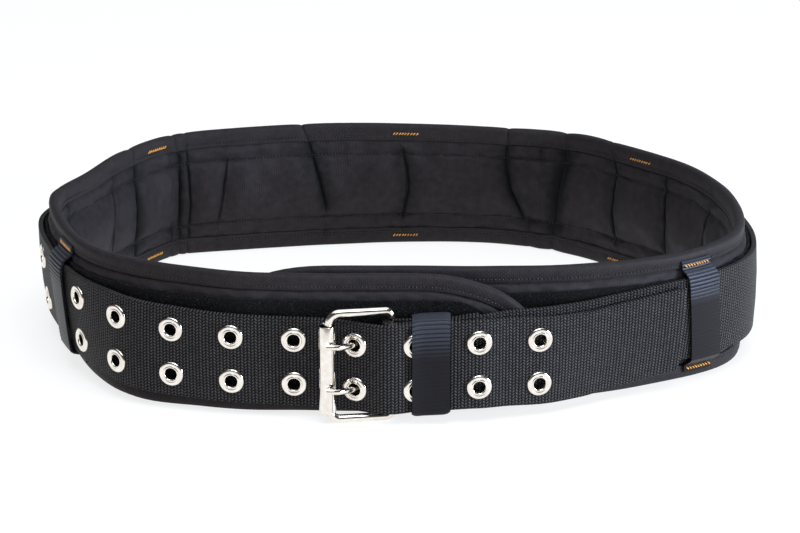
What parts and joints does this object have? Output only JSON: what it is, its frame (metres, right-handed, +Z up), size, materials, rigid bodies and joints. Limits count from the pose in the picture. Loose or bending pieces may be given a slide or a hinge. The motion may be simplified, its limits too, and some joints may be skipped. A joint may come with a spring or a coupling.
{
  "type": "padded work belt",
  "caption": "Buckled work belt: padded fabric liner with lapped ends, wide grommeted webbing, double-prong roller buckle, keeper and sewn belt loops.",
  "frame": {"origin": "under the middle of the bounding box, on the level of the liner's lower edge", "axes": "+X towards the webbing's free end side of the buckle (the wearer's left), +Y from the buckle to the belt's back, +Z up along the belt's height"},
  "size_m": [0.4158, 0.3164, 0.08],
  "materials": {
    "liner_fabric": "matte",
    "binding_tape": "matte",
    "hook_fabric": "matte",
    "webbing": "matte",
    "ribbed_tape": "satin",
    "orange_thread": "satin",
    "nickel": "polished"
  },
  "bodies": {
    "root": {"bartack_back_centre_high": "orange_thread", "bartack_back_centre_low": "orange_thread", "bartack_back_left_high": "orange_thread", "bartack_back_left_low": "orange_thread", "bartack_back_right_high": "orange_thread", "bartack_back_right_low": "orange_thread", "bartack_front_left_high": "orange_thread", "bartack_front_left_low": "orange_thread", "bartack_front_right_high": "orange_thread", "bartack_front_right_low": "orange_thread", "belt_loop_back_centre": "ribbed_tape", "belt_loop_back_left": "ribbed_tape", "belt_loop_back_right": "ribbed_tape", "belt_loop_front_left": "ribbed_tape", "belt_loop_front_right": "ribbed_tape", "belt_webbing": "webbing", "buckle_frame": "nickel", "buckle_roller": "nickel", "edge_binding_lower": "binding_tape", "edge_binding_upper": "binding_tape", "grommet_01_lower": "nickel", "grommet_01_upper": "nickel", "grommet_02_lower": "nickel", "grommet_02_upper": "nickel", "grommet_03_lower": "nickel", "grommet_03_upper": "nickel", "grommet_04_lower": "nickel", "grommet_04_upper": "nickel", "grommet_05_lower": "nickel", "grommet_05_upper": "nickel", "grommet_06_lower": "nickel", "grommet_06_upper": "nickel", "grommet_07_lower": "nickel", "grommet_07_upper": "nickel", "grommet_08_lower": "nickel", "grommet_08_upper": "nickel", "grommet_09_lower": "nickel", "grommet_09_upper": "nickel", "grommet_10_lower": "nickel", "grommet_10_upper": "nickel", "grommet_11_lower": "nickel", "grommet_11_upper": "nickel", "hook_strip": "hook_fabric", "keeper_loop": "ribbed_tape", "liner_pad": "liner_fabric", "prong_lower": "nickel", "prong_upper": "nickel"}
  },
  "joints": []
}
